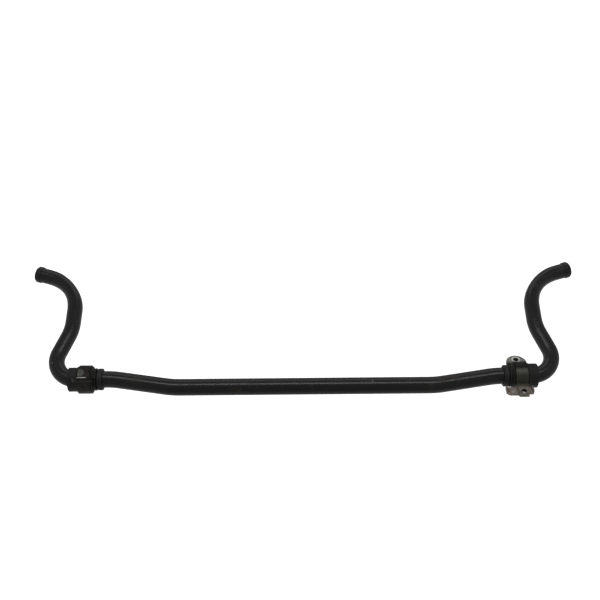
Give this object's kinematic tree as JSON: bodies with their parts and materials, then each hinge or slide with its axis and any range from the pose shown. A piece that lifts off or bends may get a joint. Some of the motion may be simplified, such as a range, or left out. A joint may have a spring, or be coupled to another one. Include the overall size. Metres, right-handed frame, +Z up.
{
  "type": "anti-roll bar",
  "caption": "Tubular anti-roll bar with cranked middle, S-shaped arms, beaded stub ends, and a split rubber bush in a two-half sheet-steel clamp near each end.",
  "frame": {"origin": "middle of the whole object seen from above, on the level that its lowest clamp ear touches", "axes": "+X along the bar towards the right-hand clamp, +Y from the bar towards the tips of the arms, +Z up; the bar is bent in one level plane"},
  "size_m": [1.0298, 0.2932, 0.0921],
  "materials": {
    "black_paint": "semi-gloss black paint with fine scratches",
    "collar_paint": "semi-gloss black paint, worn at the edges",
    "plug_paint": "satin black paint",
    "ring_coat": "matt black coating",
    "rubber": "moulded black rubber, dusty",
    "strap_steel": "dull olive-grey passivated steel",
    "bracket_zinc": "worn zinc with brown rust",
    "eyelet_steel": "bright worn steel"
  },
  "bodies": {
    "bar": {"bar": "black_paint", "left_end_collar": "collar_paint", "left_end_plug": "plug_paint", "left_stop_ring": "ring_coat", "right_end_collar": "collar_paint", "right_end_plug": "plug_paint", "right_stop_ring": "ring_coat"},
    "left_clamp": {"left_bush": "rubber", "left_strap": "strap_steel", "left_base_bracket": "bracket_zinc", "left_tongue_eyelet": "eyelet_steel", "left_round_ear_eyelet": "eyelet_steel"},
    "right_clamp": {"right_bush": "rubber", "right_strap": "strap_steel", "right_base_bracket": "bracket_zinc", "right_tongue_eyelet": "eyelet_steel", "right_round_ear_eyelet": "eyelet_steel"}
  },
  "joints": [
    {"name": "left_clamp_turn", "type": "hinge", "parent": "bar", "child": "left_clamp", "pos_m": [-0.3915, -0.09603, 0.04699], "axis": [1, 0, 0], "continuous": true},
    {"name": "right_clamp_turn", "type": "hinge", "parent": "bar", "child": "right_clamp", "pos_m": [0.3865, -0.09603, 0.04699], "axis": [1, 0, 0], "continuous": true}
  ]
}
